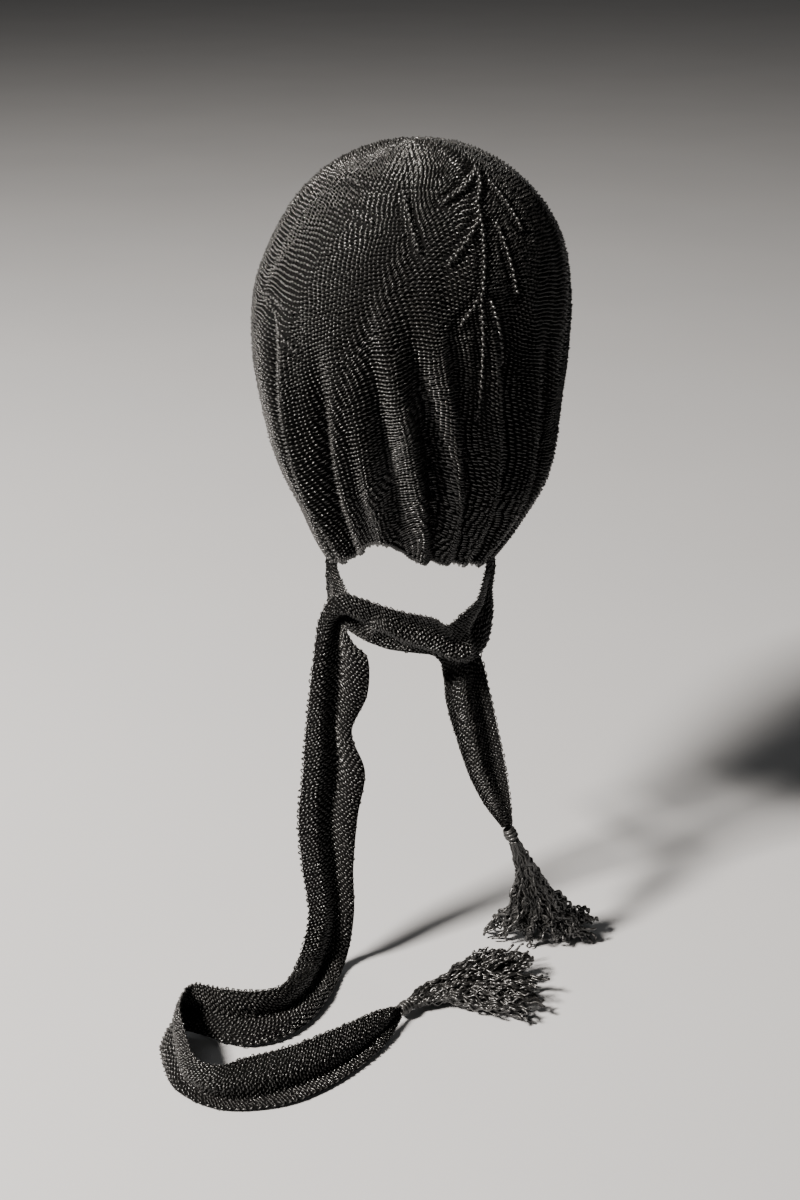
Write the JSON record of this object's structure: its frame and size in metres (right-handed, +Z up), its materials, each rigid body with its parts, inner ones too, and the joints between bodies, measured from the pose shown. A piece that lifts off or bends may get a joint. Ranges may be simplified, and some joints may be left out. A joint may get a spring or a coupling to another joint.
{
  "type": "knitted bonnet",
  "caption": "Soft black knitted bonnet: a bag-shaped hood gathered to the nape, with two knitted ties that cross behind the neck and end in bound tassels.",
  "frame": {"origin": "the inside of the crown's highest point, where the bonnet sits on a head", "axes": "+Z up, +Y the way the wearer faces, so the nape is at -Y, and +X is on the right seen from behind"},
  "size_m": [0.2689, 0.3216, 0.4762],
  "materials": {
    "knit": "matte",
    "edge": "matte",
    "tie_knit": "matte",
    "wrap": "matte",
    "tassel_yarn": "matte"
  },
  "bodies": {
    "root": {"hood": "knit", "bound_edge": "edge", "long_tie": "tie_knit", "short_tie": "tie_knit", "long_binding": "wrap", "short_binding": "wrap", "long_tassel": "tassel_yarn", "short_tassel": "tassel_yarn"}
  },
  "joints": []
}
